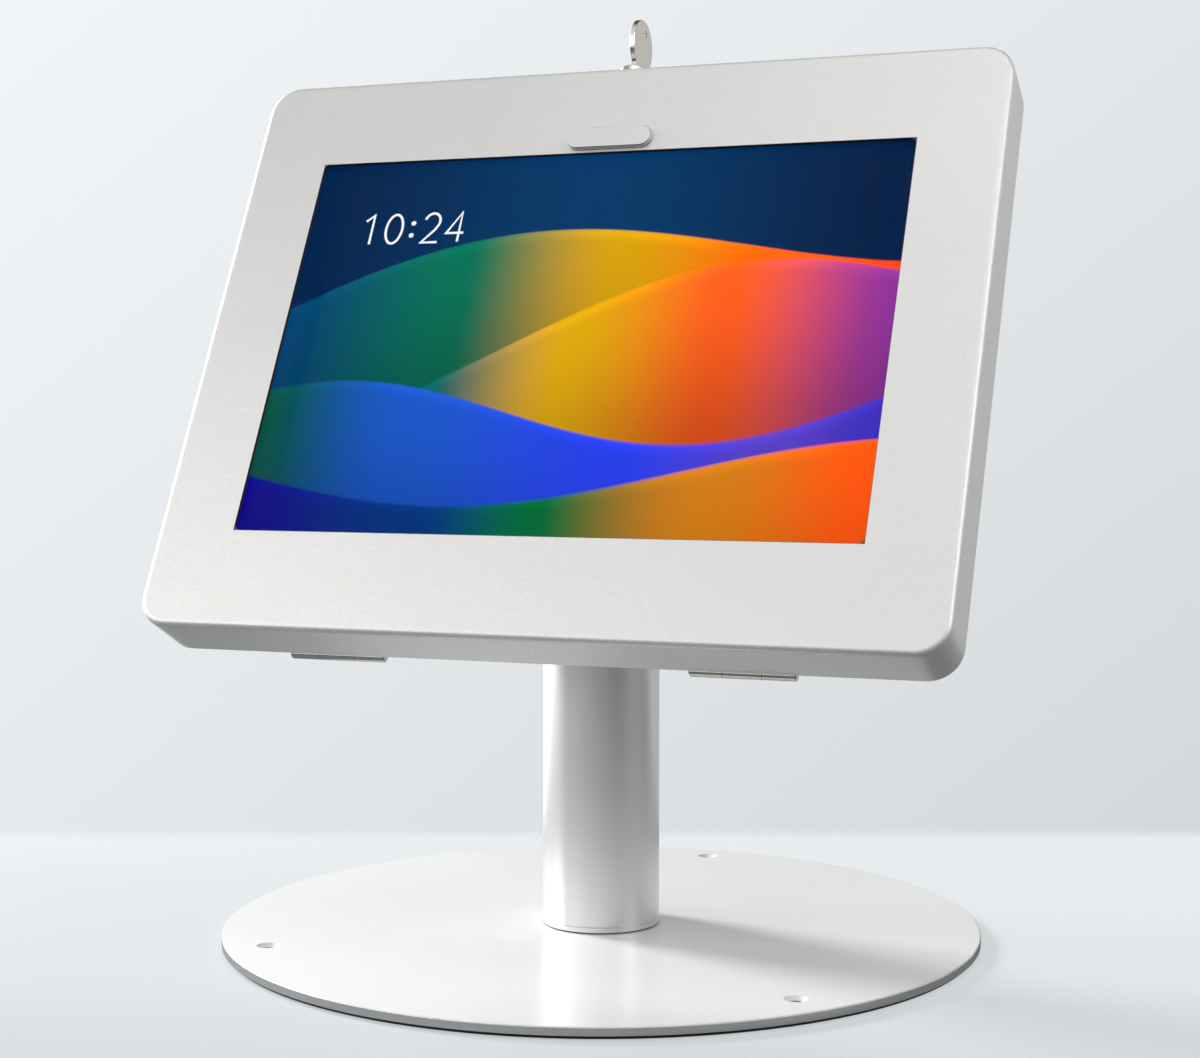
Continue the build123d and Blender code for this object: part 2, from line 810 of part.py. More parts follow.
def make_bracket_pads():
    pads = []
    shelf_depth = tablet_back_depth + bracket_pad_thickness
    half = bracket_pad_size / 2
    for across, up in bracket_corners():
        x = across * (tablet_width / 2 - bracket_pad_inset - half)
        y = up * (tablet_height / 2 - bracket_pad_inset - half)
        pads.append(block(x - half, x + half, y - half, y + half, -shelf_depth, -tablet_back_depth))
    return panel_frame * joined(pads)


def make_strike():
    """A bent strip: foot on the back panel, upright, and the tab that the cam turns behind."""
    back = -panel_inner_depth
    foot_front = back + strike_thickness
    foot_end = strike_side + strike_foot_width
    side_high = strike_side + strike_thickness
    foot = block(strike_side, foot_end, strike_low, strike_high, back, foot_front)
    upright = block(strike_side, side_high, strike_low, strike_high, back, -strike_tab_depth)
    tab_back = -strike_tab_depth - strike_thickness
    tab = block(strike_tab_inner, side_high, strike_low, strike_high, tab_back, -strike_tab_depth)
    strike = foot + upright + tab
    hole = rod(strike_screw_radius + fixed_fit, -cover_depth, foot_front + overrun)
    for x, y in strike_screw_points():
        strike = strike - Pos(x, y, 0) * hole
    return panel_frame * strike


def make_strike_screws():
    seat = -panel_inner_depth + strike_thickness
    head_radius = strike_screw_head_radius
    head_height = strike_screw_head_height
    screw = cap_screw(strike_screw_radius, head_radius, head_height, -cover_depth, seat)
    return panel_frame * joined([Pos(x, y, 0) * screw for x, y in strike_screw_points()])


# Tablet
shell_front = -tablet_front_depth - glass_thickness
shell_floor = -tablet_back_depth + tablet_back_wall


def button_body(length, extra=0):
    """A rounded bar along Z, outwards through the tablet's side wall, which ends at Z 0."""
    outline = SlotOverall(length + 2 * extra, button_thickness + 2 * extra)
    bar = extrude(outline, tablet_wall + button_proud + 2 * extra)
    return Pos(0, 0, -tablet_wall - extra) * bar


def make_button(length, place):
    outline = SlotOverall(length + 2 * button_flange, button_thickness + 2 * button_flange)
    flange = extrude(outline, button_flange_thickness)
    back = Pos(0, 0, -tablet_wall - button_flange_thickness) * flange
    return place * (button_body(length) + back)


button_depth = -(shell_front + shell_floor) / 2
power_spot = Pos(-tablet_width / 2, tablet_height / 2 - power_button_in, -button_depth)
power_place = panel_frame * power_spot * Rot(0, -90, 0) * Rot(0, 0, 90)


def volume_place(inset):
    """In the tablet's top side, counted from its left edge."""
    spot = Pos(inset - tablet_width / 2, tablet_height / 2, -button_depth)
    return panel_frame * spot * Rot(-90, 0, 0)


volume_up_place = volume_place(volume_up_in)
volume_down_place = volume_place(volume_down_in)


def make_tablet_shell():
    back = -tablet_back_depth
    body = plate(tablet_width, tablet_height, tablet_corner_radius, back, shell_front)
    body = fillet(edges_at(body, back), tablet_back_round)
    inner_width = tablet_width - 2 * tablet_wall
    inner_height = tablet_height - 2 * tablet_wall
    inner_corner = tablet_corner_radius - tablet_wall
    body = body - plate(inner_width, inner_height, inner_corner, shell_floor, shell_front + overrun)
    port = extrude(SlotOverall(port_width, port_height), tablet_wall + 2 * overrun)
    port_spot = Pos(tablet_width / 2 - tablet_wall - overrun, 0, -button_depth)
    body = panel_frame * (body - port_spot * Rot(0, 90, 0) * Rot(0, 0, 90) * port)
    body = body - power_place * button_body(power_button_length, clear_gap)
    body = body - volume_up_place * button_body(volume_button_length, clear_gap)
    body = body - volume_down_place * button_body(volume_button_length, clear_gap)
    return body


def make_tablet_glass():
    width = tablet_width - 2 * glass_inset
    height = tablet_height - 2 * glass_inset
    corner = tablet_corner_radius - glass_inset
    return panel_frame * plate(width, height, corner, shell_front, -tablet_front_depth)


def make_display():
    low = shell_front - display_thickness
    return panel_frame * plate(display_width, display_height, display_corner, low, shell_front)


def make_battery():
    cells = []
    half_x = battery_width_share * tablet_width / 2
    half_y = battery_height_share * tablet_height / 2
    offset = battery_offset_share * tablet_width
    down = battery_down_share * tablet_height
    for side in (-1, 1):
        cell = block(-half_x, half_x, -half_y, half_y, shell_floor, shell_floor + battery_thickness)
        cells.append(Pos(side * offset, -down, 0) * cell)
    return panel_frame * joined(cells)


def make_board():
    half_x = board_width_share * tablet_width / 2
    half_y = board_height_share * tablet_height / 2
    board = block(-half_x, half_x, -half_y, half_y, shell_floor, shell_floor + board_thickness)
    return panel_frame * Pos(0, board_up_share * tablet_height, 0) * board


# Front cover and what moves with it
def make_front_cover():
    body = plate(cover_width, cover_height, cover_corner_radius, -cover_depth, 0)
    body = fillet(edges_at(body, 0), cover_edge_round)
    inner_width = cover_width - 2 * sheet
    inner_height = cover_height - 2 * sheet
    inner_corner = cover_corner_radius - sheet
    inner = plate(inner_width, inner_height, inner_corner, -cover_depth - overrun, -sheet)
    inner = fillet(edges_at(inner, -sheet), cover_edge_round - sheet)
    body = body - inner
    body = body - plate(window_width, window_height, window_corner_radius, -sheet - overrun, overrun)
    body = body - Pos(0, camera_hole_up, 0) * rod(camera_hole_radius, -sheet - overrun, overrun)
    for side in (-1, 1):
        hole = rod(pill_peg_radius + fixed_fit, -sheet - overrun, overrun)
        body = body - Pos(pill_right + side * pill_peg_spacing / 2, pill_up, 0) * hole
    lock_hole = rod(lock_body_radius + fixed_fit, -sheet - overrun, overrun)
    return panel_frame * body - lock_frame * lock_hole


def make_window_gasket():
    inner_width = window_width + 2 * gasket_inset
    inner_height = window_height + 2 * gasket_inset
    low = -sheet - gasket_thickness
    outer_width = inner_width + 2 * gasket_width
    outer_height = inner_height + 2 * gasket_width
    outer = plate(outer_width, outer_height, window_corner_radius + gasket_width, low, -sheet)
    inner = plate(inner_width, inner_height, window_corner_radius, low - overrun, -sheet + overrun)
    camera = Pos(0, camera_hole_up, 0) * rod(camera_hole_radius, low - overrun, -sheet + overrun)
    return panel_frame * (outer - inner - camera)


def make_camera_cover():
    """A plain pill, held by two pegs pressed through the cover's front sheet."""
    pill = extrude(SlotOverall(pill_width, pill_height), pill_thickness)
    pill = chamfer(edges_at(pill, pill_thickness), pill_edge_chamfer)
    for side in (-1, 1):
        pill = pill + Pos(side * pill_peg_spacing / 2, 0, 0) * rod(pill_peg_radius, -sheet, 0)
    return panel_frame * Pos(pill_right, pill_up, 0) * pill


# Lock and key, in the lock's frame
def make_lock_housing():
    head = rod(lock_head_radius, 0, lock_head_height)
    head = fillet(edges_at(head, lock_head_height), lock_head_round)
    body = head + rod(lock_body_radius, -lock_body_length, 0)
    top = lock_head_height + overrun
    body = body - rod(plug_radius + running_fit, -lock_body_length - overrun, top)
    face_seat = lock_head_height - plug_face_thickness
    body = body - rod(plug_face_radius + running_fit, face_seat, top)
    return lock_frame * body


def make_lock_nut():
    top = -sheet
    bottom = top - lock_nut_height
    nut = hex_bar(lock_nut_radius, bottom, top)
    return lock_frame * (nut - rod(lock_body_radius + fixed_fit, bottom - overrun, top + overrun))


plug_end = -lock_body_length - plug_spare


def make_lock_plug():
    face_seat = lock_head_height - plug_face_thickness
    plug = rod(plug_radius, plug_end, lock_head_height)
    plug = plug + rod(plug_face_radius, face_seat, lock_head_height)
    across = keyway_half_thickness
    along = keyway_half_width
    keyway_low = lock_head_height - keyway_depth
    keyway = block(-across, across, -along, along, keyway_low, lock_head_height + overrun)
    screw_hole = rod(cam_screw_radius + fixed_fit, plug_end - overrun, plug_end + cam_screw_length)
    return lock_frame * (plug - keyway - screw_hole)


def make_lock_cam():
    """At rest the tongue points at the back panel, clear of the strike."""
    low = plug_end - cam_thickness
    tongue = block(-cam_half_width, cam_half_width, 0, cam_reach, low, plug_end)
    screw_hole = rod(cam_screw_radius + fixed_fit, low - overrun, plug_end + overrun)
    return lock_frame * (rod(cam_hub_radius, low, plug_end) + tongue - screw_hole)


def make_cam_screw():
    seat = plug_end - cam_thickness
    screw = rod(cam_screw_head_radius, seat - cam_screw_head_height, seat)
    socket_top = seat - cam_screw_head_height + small_socket_depth
    screw = screw - hex_bar(small_socket_radius, seat - cam_screw_head_height - overrun, socket_top)
    return lock_frame * (screw + rod(cam_screw_radius, seat, seat + cam_screw_length))


def make_key():
    half = key_thickness / 2
    bow = Pos(0, 0, key_bow_height) * along_x(rod(key_bow_radius, -half, half))
    neck_half = key_neck_half_width
    neck = block(-half, half, -neck_half, neck_half, lock_head_height, key_bow_height)
    head = bow + neck
    flat_faces = head.faces().filter_by(Axis.X).sort_by(Axis.X)
    rims = flat_faces[0].edges() + flat_faces[-1].edges()
    head = chamfer(rims.filter_by(GeomType.CIRCLE), key_edge_chamfer)
    hole = along_x(rod(key_hole_radius, -key_thickness, key_thickness))
    head = head - Pos(0, 0, key_hole_height) * hole
    blade_side = key_blade_thickness / 2
    blade_edge = key_blade_half_width
    blade_low = lock_head_height - key_blade_length
    blade = block(-blade_side, blade_side, -blade_edge, blade_edge, blade_low, lock_head_height)
    for i in range(key_cut_count):
        height = blade_low + key_tip_height + i * key_cut_pitch
        cut = Box(key_thickness, key_cut_size, key_cut_size)
        blade = blade - Pos(0, -key_blade_half_width, height) * Rot(45, 0, 0) * cut
    return lock_frame * (head + blade)


pieces = {
    "base_pad": make_base_pad(),
    "base_plate": make_base_plate(),
    "column_foot": make_column_foot(),
    "column_foot_screws": make_foot_screws(),
    "column_tube": make_column_tube(),
    "column_cable_grommet": make_cable_grommet(),
    "column_head": make_column_head(),
    "column_head_grub_screws": make_grub_screws(),
    "tilt_bolt": make_tilt_bolt(),
    "tilt_washers": make_tilt_washers(),
    "tilt_nut": make_tilt_nut(),
    "tilt_arm": make_tilt_arm(),
    "tilt_friction_discs": make_friction_discs(),
    "swivel_friction_washers": make_swivel_friction_washers(),
    "swivel_tube": make_swivel_tube(),
    "swivel_spring_washer": make_spring_washer(),
    "swivel_nut": make_swivel_nut(),
    "swivel_stop_pin": make_stop_pin(),
    "vesa_plate": make_vesa_plate(),
    "vesa_screws": make_vesa_screws(),
    "vesa_clinch_nuts": make_clinch_nuts(),
    "back_panel": make_back_panel(),
    "hinge_fixed_leaves": make_fixed_leaves(),
    "hinge_pins": make_hinge_pins(),
    "corner_brackets": make_corner_brackets(),
    "corner_bracket_screws": make_bracket_screws(),
    "corner_bracket_pads": make_bracket_pads(),
    "strike_plate": make_strike(),
    "strike_screws": make_strike_screws(),
    "tablet_shell": make_tablet_shell(),
    "tablet_glass": make_tablet_glass(),
    "tablet_display": make_display(),
    "tablet_battery": make_battery(),
    "tablet_board": make_board(),
    "tablet_power_button": make_button(power_button_length, power_place),
    "tablet_volume_up_button": make_button(volume_button_length, volume_up_place),
    "tablet_volume_down_button": make_button(volume_button_length, volume_down_place),
    "front_cover": make_front_cover(),
    "window_gasket": make_window_gasket(),
    "camera_cover": make_camera_cover(),
    "hinge_moving_leaves": make_moving_leaves(),
    "lock_housing": make_lock_housing(),
    "lock_nut": make_lock_nut(),
    "lock_plug": make_lock_plug(),
    "lock_cam": make_lock_cam(),
    "lock_cam_screw": make_cam_screw(),
    "key": make_key(),
}

os.makedirs("parts", exist_ok=True)
for name, piece in pieces.items():
    export_step(piece, f"parts/{name}.step")
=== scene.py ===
import math

import bpy
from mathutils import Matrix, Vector


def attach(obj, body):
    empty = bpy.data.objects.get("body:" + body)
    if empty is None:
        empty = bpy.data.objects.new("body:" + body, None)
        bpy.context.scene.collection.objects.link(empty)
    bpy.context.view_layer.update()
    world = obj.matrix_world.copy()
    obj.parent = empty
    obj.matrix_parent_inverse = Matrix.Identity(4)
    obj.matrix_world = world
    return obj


# The looks of a tablet kiosk stand, around its fixed frame. Lengths are in metres here.
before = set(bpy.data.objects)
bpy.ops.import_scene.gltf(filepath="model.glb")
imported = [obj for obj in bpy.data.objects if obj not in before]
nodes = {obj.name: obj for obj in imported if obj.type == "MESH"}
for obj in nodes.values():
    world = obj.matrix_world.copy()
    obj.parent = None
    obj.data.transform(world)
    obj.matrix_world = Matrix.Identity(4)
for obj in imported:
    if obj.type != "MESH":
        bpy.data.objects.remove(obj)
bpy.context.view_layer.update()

MM = 0.001

# The photograph's viewpoint
CAMERA_PLACE = (0.2935, -0.7619, 0.1986)
CAMERA_AZIMUTH = math.radians(21.1)
CAMERA_PITCH = math.radians(3.05)
CAMERA_LENS = 64.43
SENSOR_WIDTH = 36.0
NEAREST_SEEN = 0.01
FARTHEST_SEEN = 100.0

# The case's own frame: across, up the panel, and out of the screen
PANEL_TILT = math.radians(27.25)
PANEL_CENTRE = Vector((0, -32.0, 227.0)) * MM
PANEL_ACROSS = Vector((1, 0, 0))
PANEL_UP = Vector((0, math.sin(PANEL_TILT), math.cos(PANEL_TILT)))
PANEL_OUT = Vector((0, -math.cos(PANEL_TILT), math.sin(PANEL_TILT)))

# Directions of the view: to its right, back towards the camera, and up
VIEW_RIGHT = Vector((math.cos(CAMERA_AZIMUTH), math.sin(CAMERA_AZIMUTH), 0))
VIEW_BACK = Vector((math.sin(CAMERA_AZIMUTH), -math.cos(CAMERA_AZIMUTH), 0))
VIEW_UP = Vector((0, 0, 1))


# Camera
def make_camera():
    data = bpy.data.cameras.new("camera")
    data.lens = CAMERA_LENS
    data.sensor_width = SENSOR_WIDTH
    data.clip_start = NEAREST_SEEN
    data.clip_end = FARTHEST_SEEN
    camera = bpy.data.objects.new("camera", data)
    camera.location = CAMERA_PLACE
    camera.rotation_euler = (math.pi / 2 - CAMERA_PITCH, 0, CAMERA_AZIMUTH)
    bpy.context.scene.collection.objects.link(camera)
    bpy.context.scene.camera = camera


make_camera()

# Most of a noise lies between these values
NOISE_LOW = 0.3
NOISE_HIGH = 0.7


# Shader nodes
class Shader:
    """One node tree, with short calls for the nodes that the finishes share."""

    def __init__(self, owner):
        owner.use_nodes = True
        self.tree = owner.node_tree
        self.tree.nodes.clear()
        self.object_place = None

    def node(self, kind, values=None, **settings):
        made = self.tree.nodes.new(kind)
        for name, value in settings.items():
            setattr(made, name, value)
        for name, value in (values or {}).items():
            self.put(made.inputs[name], value)
        return made

    def put(self, socket, value):
        if isinstance(value, bpy.types.NodeSocket):
            self.tree.links.new(value, socket)
        else:
            socket.default_value = value

    def math(self, operation, first, second=0.0, third=0.0):
        made = self.node("ShaderNodeMath", {0: first, 1: second, 2: third}, operation=operation)
        return made.outputs[0]

    def times(self, first, second):
        return self.math("MULTIPLY", first, second)

    def place(self):
        """The piece's own coordinates, in metres."""
        if self.object_place is None:
            self.object_place = self.node("ShaderNodeTexCoord").outputs["Object"]
        return self.object_place

    def facing(self):
        """The way the surface faces in the room."""
        return self.node("ShaderNodeNewGeometry").outputs["Normal"]

    def dot(self, vector, direction):
        made = self.node("ShaderNodeVectorMath", {0: vector, 1: tuple(direction)}, operation="DOT_PRODUCT")
        return made.outputs["Value"]

    def spread(self, value, low, high, new_low, new_high, smooth=False):
        """Carries one range onto another, and stops at its ends."""
        made = self.node(
            "ShaderNodeMapRange",
            {"Value": value, "From Min": low, "From Max": high, "To Min": new_low, "To Max": new_high},
            interpolation_type="SMOOTHSTEP" if smooth else "LINEAR",
        )
        return made.outputs["Result"]

    def vary(self, noise, low, high):
        """Carries a noise onto a range of tones or of roughness."""
        return self.spread(noise, NOISE_LOW, NOISE_HIGH, low, high)

    def noise(self, size, detail=2.0, roughness=0.5, stretch=(1, 1, 1)):
        """Soft noise with cells of about the given size, pulled out along each axis by stretch."""
        place = self.place()
        if tuple(stretch) != (1, 1, 1):
            shrink = tuple(1 / s for s in stretch)
            place = self.node("ShaderNodeMapping", {"Vector": place, "Scale": shrink}).outputs["Vector"]
        made = self.node(
            "ShaderNodeTexNoise",
            {"Vector": place, "Scale": 1 / size, "Detail": detail, "Roughness": roughness},
        )
        return made.outputs["Fac"]

    def cells(self, size):
        """Distance from the middle of the nearest cell, as a share of the cells' size."""
        made = self.node("ShaderNodeTexVoronoi", {"Vector": self.place(), "Scale": 1 / size})
        return made.outputs["Distance"]

    def blend(self, share, first, second):
        """From the first colour to the second. Their sockets have no names of their own."""
        made = self.node("ShaderNodeMix", data_type="RGBA")
        self.put(made.inputs[0], share)
        self.put(made.inputs[6], first)
        self.put(made.inputs[7], second)
        return made.outputs[2]

    def shade(self, colour, amount):
        """A colour times a number."""
        if not isinstance(colour, bpy.types.NodeSocket):
            colour = colour[:3]
        scaled = self.node("ShaderNodeVectorMath", {0: colour, "Scale": amount}, operation="SCALE")
        return scaled.outputs[0]

    def ramp(self, share, stops, interpolation="LINEAR"):
        """A run of colours along a share from 0 to 1, each stop its place and its colour."""
        made = self.node("ShaderNodeValToRGB", {"Fac": share})
        made.color_ramp.interpolation = interpolation
        while len(made.color_ramp.elements) < len(stops):
            made.color_ramp.elements.new(0.5)
        for element, (where, colour) in zip(made.color_ramp.elements, stops):
            element.position = where
            element.color = colour
        return made.outputs["Color"]

    def bump(self, height, distance, before=None):
        made = self.node("ShaderNodeBump", {"Height": height, "Distance": distance})
        if before is not None:
            self.put(made.inputs["Normal"], before)
        return made.outputs["Normal"]

    def finish(self, **values):
        """The surface's shader. Names are the shader's sockets, with underscores for spaces."""
        surface = self.node(
            "ShaderNodeBsdfPrincipled", {name.replace("_", " "): value for name, value in values.items()}
        )
        self.output("ShaderNodeOutputMaterial", surface)

    def light_up(self, base, shown):
        """A matt surface that gives off the colours shown, over a dark base."""
        self.finish(
            Base_Color=base, Roughness=0.5, Specular_IOR_Level=0.0,
            Emission_Color=shown, Emission_Strength=1.0,
        )

    def output(self, kind, last):
        self.tree.links.new(last.outputs[0], self.node(kind).inputs["Surface"])


def rgb(red, green, blue):
    """A colour written as it is seen, from 0 to 255, as the linear value that shaders take."""
    linear = []
    for level in (red, green, blue):
        share = level / 255
        linear.append(share / 12.92 if share <= 0.04045 else ((share + 0.055) / 1.055) ** 2.4)
    return (*linear, 1.0)


def colour_run(s, share, stops):
    """A soft run of colours, each written as it is seen."""
    return s.ramp(share, [(where, rgb(*colour)) for where, colour in stops], "EASE")


def new_material(name):
    made = bpy.data.materials.new(name)
    return made, Shader(made)


# Places on the case
def panel_local(s):
    """A place on a piece of the case, from the middle of the cover's front face."""
    return s.node(
        "ShaderNodeVectorMath", {0: s.place(), 1: tuple(PANEL_CENTRE)}, operation="SUBTRACT"
    ).outputs[0]


def panel_place(s):
    """Across and up on the panel, in metres, for a piece of the case."""
    local = panel_local(s)
    return s.dot(local, PANEL_ACROSS), s.dot(local, PANEL_UP)


def in_panel_box(s, half_width, half_height):
    """1 inside a box round the panel's middle, and 0 elsewhere on the piece."""
    across, up = panel_place(s)
    in_width = s.math("LESS_THAN", s.math("ABSOLUTE", across), half_width)
    in_height = s.math("LESS_THAN", s.math("ABSOLUTE", up), half_height)
    return s.times(in_width, in_height)


# The window's cut edge is dark, and lies just inside this box on the panel
WINDOW_HALF_WIDTH = 119.9 * MM
WINDOW_HALF_HEIGHT = 80.05 * MM
WINDOW_EDGE_COLOUR = rgb(70, 64, 62)

# The pill's chamfer is told by how far it faces out of the panel, and is painted darker as painted shade.
# A painted contact shadow along its foot reaches this far out from the cover
PILL_CHAMFER_LEAST = 0.3
PILL_CHAMFER_MOST = 0.95
PILL_FOOT_SHADOW_REACH = 0.5 * MM
PILL_EDGE_SHADE_COLOUR = rgb(128, 127, 125)


def pill_edge_shade(s):
    """1 on the pill's chamfer and along its foot: painted shade on the chamfer and a painted contact
    shadow at the foot.
    """
    facing = s.dot(s.facing(), PANEL_OUT)
    above_wall = s.math("GREATER_THAN", facing, PILL_CHAMFER_LEAST)
    below_front = s.math("LESS_THAN", facing, PILL_CHAMFER_MOST)
    pill_foot_shadow = s.math("LESS_THAN", s.dot(panel_local(s), PANEL_OUT), PILL_FOOT_SHADOW_REACH)
    return s.math("MAXIMUM", s.times(above_wall, below_front), pill_foot_shadow)


# Powder coat is coarser on the folded walls, and the undersides are painted a little darker, a painted
# shade.
# How far a surface faces out of the panel, or up it, tells which it is while the case is at rest
WALL_GRAIN = 2.4
WALL_FACING = 0.3
FRONT_FACING = 0.9
UNDERSIDE_SHADE_TONE = 0.84
UNDERSIDE_SHADE_FULL = -0.95
UNDERSIDE_SHADE_START = -0.3
FLECK_SIZE_SHARE = 0.6
FLECK_LOW = 0.35
FLECK_HIGH = 0.7
PEEL_SIZE_SHARE = 5
PEEL_DEPTH_SHARE = 1.5
COAT_CLOUD_SIZE = 55 * MM
COAT_CLOUD_TONES = (0.985, 1.012)
COAT_ROUGHNESS_SWING = 0.05


def powder_coat(name, colour, metallic, roughness, grain, depth, flecks, window=False, shaded_pill_edge=False):
    """Baked paint: fine grain, light flecks of metal, and faint clouding across the sheet."""
    made, s = new_material(name)
    if window:
        edge = in_panel_box(s, WINDOW_HALF_WIDTH, WINDOW_HALF_HEIGHT)
        colour = s.blend(edge, colour, WINDOW_EDGE_COLOUR)
    # The pill's chamfer and foot are painted darker: painted shade and a painted contact shadow
    if shaded_pill_edge:
        colour = s.blend(pill_edge_shade(s), colour, PILL_EDGE_SHADE_COLOUR)
    fine = s.noise(grain, detail=3.0, roughness=0.6)
    facing = s.facing()
    front = s.math("ABSOLUTE", s.dot(facing, PANEL_OUT))
    swing = s.spread(front, WALL_FACING, FRONT_FACING, flecks * WALL_GRAIN, flecks)
    fleck = s.spread(s.noise(grain * FLECK_SIZE_SHARE, detail=1.0), FLECK_LOW, FLECK_HIGH, -1.0, 1.0)
    fleck = s.math("MULTIPLY_ADD", fleck, swing, 1.0)
    cloud = s.vary(s.noise(COAT_CLOUD_SIZE), *COAT_CLOUD_TONES)
    # Surfaces that face down the panel are painted darker: painted shade
    underside_shade = s.spread(s.dot(facing, PANEL_UP), UNDERSIDE_SHADE_FULL, UNDERSIDE_SHADE_START, UNDERSIDE_SHADE_TONE, 1.0)
    tone = s.shade(colour, s.times(s.times(fleck, cloud), underside_shade))
    rough = s.vary(fine, roughness - COAT_ROUGHNESS_SWING, roughness + COAT_ROUGHNESS_SWING)
    peel = s.noise(grain * PEEL_SIZE_SHARE, detail=1.0)
    normal = s.bump(peel, depth * PEEL_DEPTH_SHARE)
    normal = s.bump(fine, depth, before=normal)
    s.finish(Base_Color=tone, Metallic=metallic, Roughness=rough, Normal=normal)
    return made


# The column's foot is painted darker up to this height, a painted contact shadow where it meets the base
FOOT_SHADOW_TOP = 4.85 * MM
FOOT_SHADOW_COLOUR = rgb(96, 96, 97)

# A rim faces up or down by less than this, and shows more metal than the flat of its plate
RIM_FACING = 0.3
RIM_METALLIC = 0.85

LACQUER_LINE_SIZE = 0.8 * MM
LACQUER_CLOUD_SIZE = 50 * MM
LACQUER_CLOUD_TONES = (0.992, 1.006)
LACQUER_ROUGHNESS_SWING = 0.01
QUARTER_TURN = 0.25


def lacquer(name, colour, metallic, roughness, stretch, swing, brushed=0.0, bare_edge=False, column_foot_shadow=False):
    """Smooth coating over brushed metal, whose lines show faintly through it."""
    made, s = new_material(name)
    if column_foot_shadow:
        # Painted contact shadow: the column is darker below this height
        low = s.math("LESS_THAN", s.dot(s.place(), VIEW_UP), FOOT_SHADOW_TOP)
        colour = s.blend(low, colour, FOOT_SHADOW_COLOUR)
    if bare_edge:
        upright = s.math("ABSOLUTE", s.dot(s.facing(), VIEW_UP))
        rim = s.math("LESS_THAN", upright, RIM_FACING)
        metallic = s.spread(rim, 0.0, 1.0, metallic, RIM_METALLIC)
    lines = s.vary(s.noise(LACQUER_LINE_SIZE, stretch=stretch), 1 - swing, 1 + swing)
    cloud = s.noise(LACQUER_CLOUD_SIZE)
    shades = s.times(lines, s.vary(cloud, *LACQUER_CLOUD_TONES))
    rough = s.vary(cloud, roughness - LACQUER_ROUGHNESS_SWING, roughness + LACQUER_ROUGHNESS_SWING)
    s.finish(
        Base_Color=s.shade(colour, shades), Metallic=metallic, Roughness=rough,
        Anisotropic=brushed, Anisotropic_Rotation=QUARTER_TURN,
    )
    return made


POLISH_CLOUD_SIZE = 4 * MM
POLISH_CLOUD_TONES = (0.97, 1.02)
RUB_SIZE = 0.5 * MM
RUB_STRETCH = (6, 1, 1)
RUB_TONES = (0.98, 1.015)
POLISH_ROUGHNESS_LESS = 0.02
POLISH_ROUGHNESS_MORE = 0.03


def polished_metal(name, colour, roughness):
    """Bright smooth metal, with a faint uneven tone and fine rubbed marks."""
    made, s = new_material(name)
    cloud = s.noise(POLISH_CLOUD_SIZE, detail=3.0)
    rubbed = s.vary(s.noise(RUB_SIZE, stretch=RUB_STRETCH), *RUB_TONES)
    shades = s.times(s.vary(cloud, *POLISH_CLOUD_TONES), rubbed)
    rough = s.vary(cloud, roughness - POLISH_ROUGHNESS_LESS, roughness + POLISH_ROUGHNESS_MORE)
    s.finish(Base_Color=s.shade(colour, shades), Metallic=1.0, Roughness=rough)
    return made


SATIN_GRAIN_TONES = (0.94, 1.04)
SATIN_STAIN_SIZE = 6 * MM
SATIN_STAIN_TONES = (0.96, 1.02)
SATIN_ROUGHNESS_SHARES = (0.8, 1.25)


def satin_metal(name, colour, roughness, grain, depth=0.012 * MM):
    """Blasted or plated metal: a fine even grain, and a faint uneven tone."""
    made, s = new_material(name)
    fine = s.noise(grain, detail=3.0, roughness=0.6)
    stain = s.noise(SATIN_STAIN_SIZE, detail=3.0)
    tone = s.times(s.vary(fine, *SATIN_GRAIN_TONES), s.vary(stain, *SATIN_STAIN_TONES))
    rough = s.vary(fine, *(roughness * share for share in SATIN_ROUGHNESS_SHARES))
    s.finish(Base_Color=s.shade(colour, tone), Metallic=1.0, Roughness=rough, Normal=s.bump(fine, depth))
    return made


MOULD_PATCH_SIZE = 12 * MM
MOULD_PATCH_TONES = (0.95, 1.04)
MOULD_ROUGHNESS_SWING = 0.06


def moulded(name, colour, roughness, grain=0.5 * MM, depth=0.02 * MM, mottle=0.04, specular=0.4):
    """Moulded plastic or rubber: fine spark texture and slight mottling."""
    made, s = new_material(name)
    fine = s.noise(grain, detail=3.0, roughness=0.6)
    patch = s.noise(MOULD_PATCH_SIZE, detail=3.0)
    tone = s.times(s.vary(fine, 1 - mottle, 1 + mottle), s.vary(patch, *MOULD_PATCH_TONES))
    rough = s.vary(patch, roughness - MOULD_ROUGHNESS_SWING, roughness + MOULD_ROUGHNESS_SWING)
    s.finish(
        Base_Color=s.shade(colour, tone), Roughness=rough, Normal=s.bump(fine, depth),
        Specular_IOR_Level=specular,
    )
    return made


